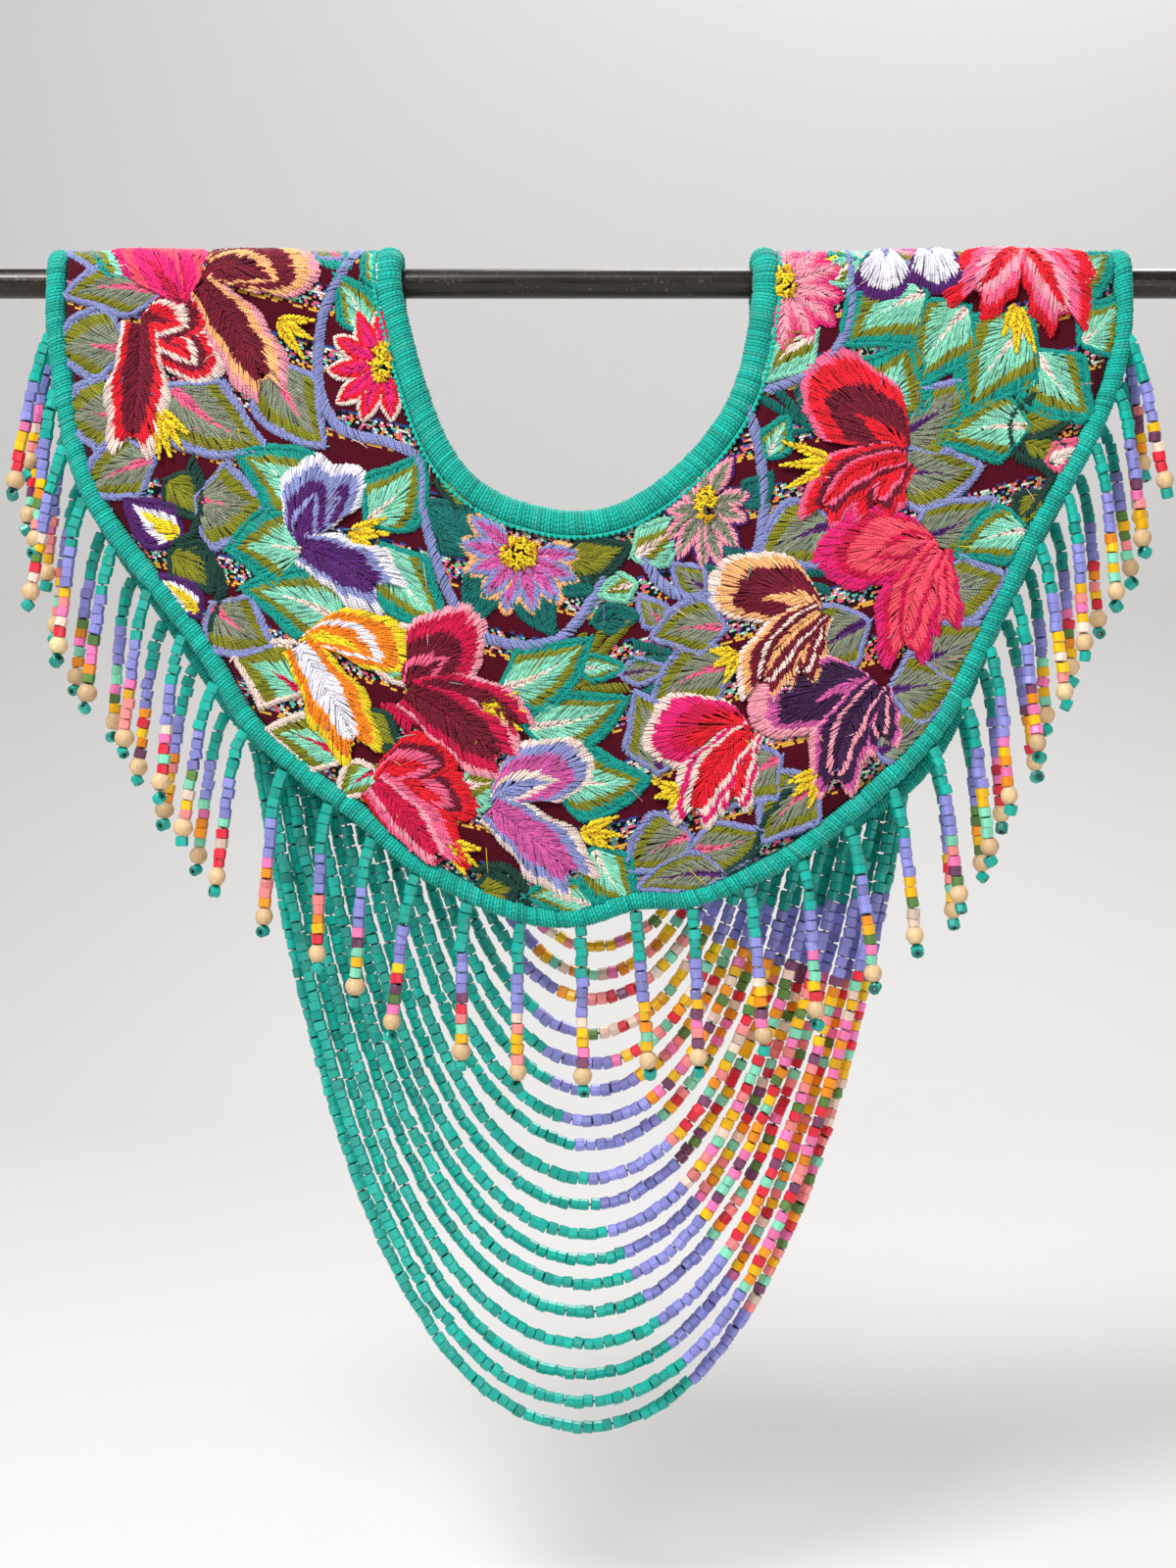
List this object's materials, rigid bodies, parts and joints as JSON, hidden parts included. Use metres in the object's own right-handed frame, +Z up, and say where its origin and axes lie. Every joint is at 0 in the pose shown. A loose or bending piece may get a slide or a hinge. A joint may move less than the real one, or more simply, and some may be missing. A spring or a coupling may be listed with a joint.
{
  "type": "beaded shoulder cape on a rod",
  "caption": "Embroidered yoke-shaped shoulder cape with a U neck, folded over a plain rod, with wrapped roll edges, bead fringe all round and nested bead loops below the back",
  "frame": {"origin": "the middle of the rod's axis, straight below the crown of the fold. +Z is up, +X runs along the rod to the right as seen from the front, and -Y points forwards, away from the front of the cape", "axes": "right-handed, +Z up, X across the cape along the rod, the front of the cape faces -Y"},
  "size_m": [0.52, 0.0359, 0.4918],
  "materials": {
    "rod_steel": "satin",
    "embroidered_cloth": "matte",
    "wrapped_yarn": "matte",
    "beads": "satin"
  },
  "bodies": {
    "root": {"rod": "rod_steel", "front_yoke": "embroidered_cloth", "back_yoke": "embroidered_cloth", "neck_roll": "wrapped_yarn", "shoulder_roll_left": "wrapped_yarn", "shoulder_roll_right": "wrapped_yarn", "front_fringe_left": "beads", "front_fringe_right": "beads", "back_fringe_left": "beads", "back_fringe_right": "beads", "back_bead_loops": "beads"}
  },
  "joints": []
}
